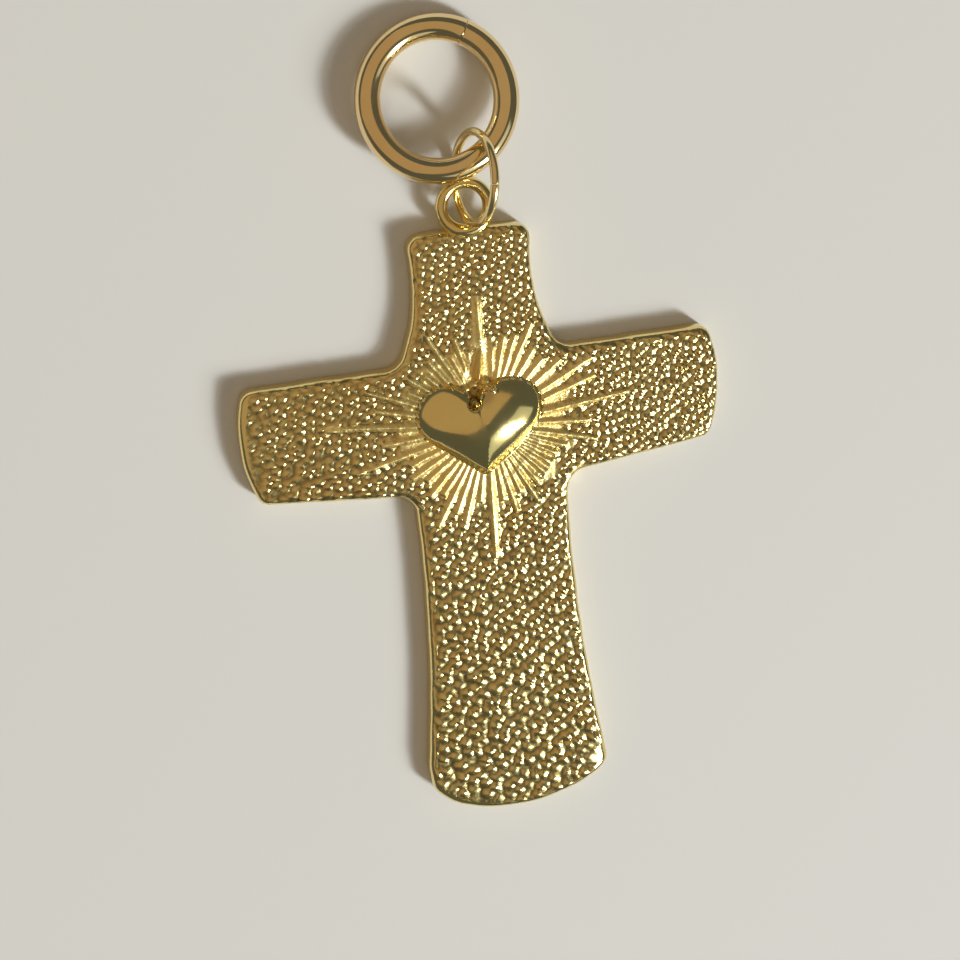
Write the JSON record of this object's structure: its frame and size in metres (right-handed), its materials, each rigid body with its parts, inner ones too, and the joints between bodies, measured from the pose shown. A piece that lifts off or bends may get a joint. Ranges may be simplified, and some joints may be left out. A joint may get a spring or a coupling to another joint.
{
  "type": "cross heart pendant",
  "caption": "Textured cast cross with a puffed heart on a sunburst, hung from a small jump ring and a large round ring.",
  "frame": {"origin": "on the flat back of the cross, on its long axis at the height of the heart", "axes": "+Z out of the front, +Y up the long arm towards the eye, +X to the viewer's right"},
  "size_m": [0.0542, 0.0918, 0.01],
  "materials": {
    "gold_plate": "gold plated casting, pebbled front with polished heart and rim",
    "gold_wire": "polished gold plated wire",
    "gold_ring": "polished gold plated wire"
  },
  "bodies": {
    "cross": {"cross": "gold_plate"},
    "jump_ring": {"jump_ring": "gold_wire"},
    "carrier_ring": {"carrier_ring": "gold_ring"}
  },
  "joints": [
    {"name": "jump_ring_swivel", "type": "hinge", "parent": "cross", "child": "jump_ring", "pos_m": [0, 0.02435, 0.0019], "axis": [0, 0, 1], "range_deg": [-50, 50]},
    {"name": "carrier_ring_lift", "type": "hinge", "parent": "jump_ring", "child": "carrier_ring", "pos_m": [0.00065, 0.029, 0.00338], "axis": [0.9356, 0.3497, -0.0485], "range_deg": [0, 90]}
  ]
}
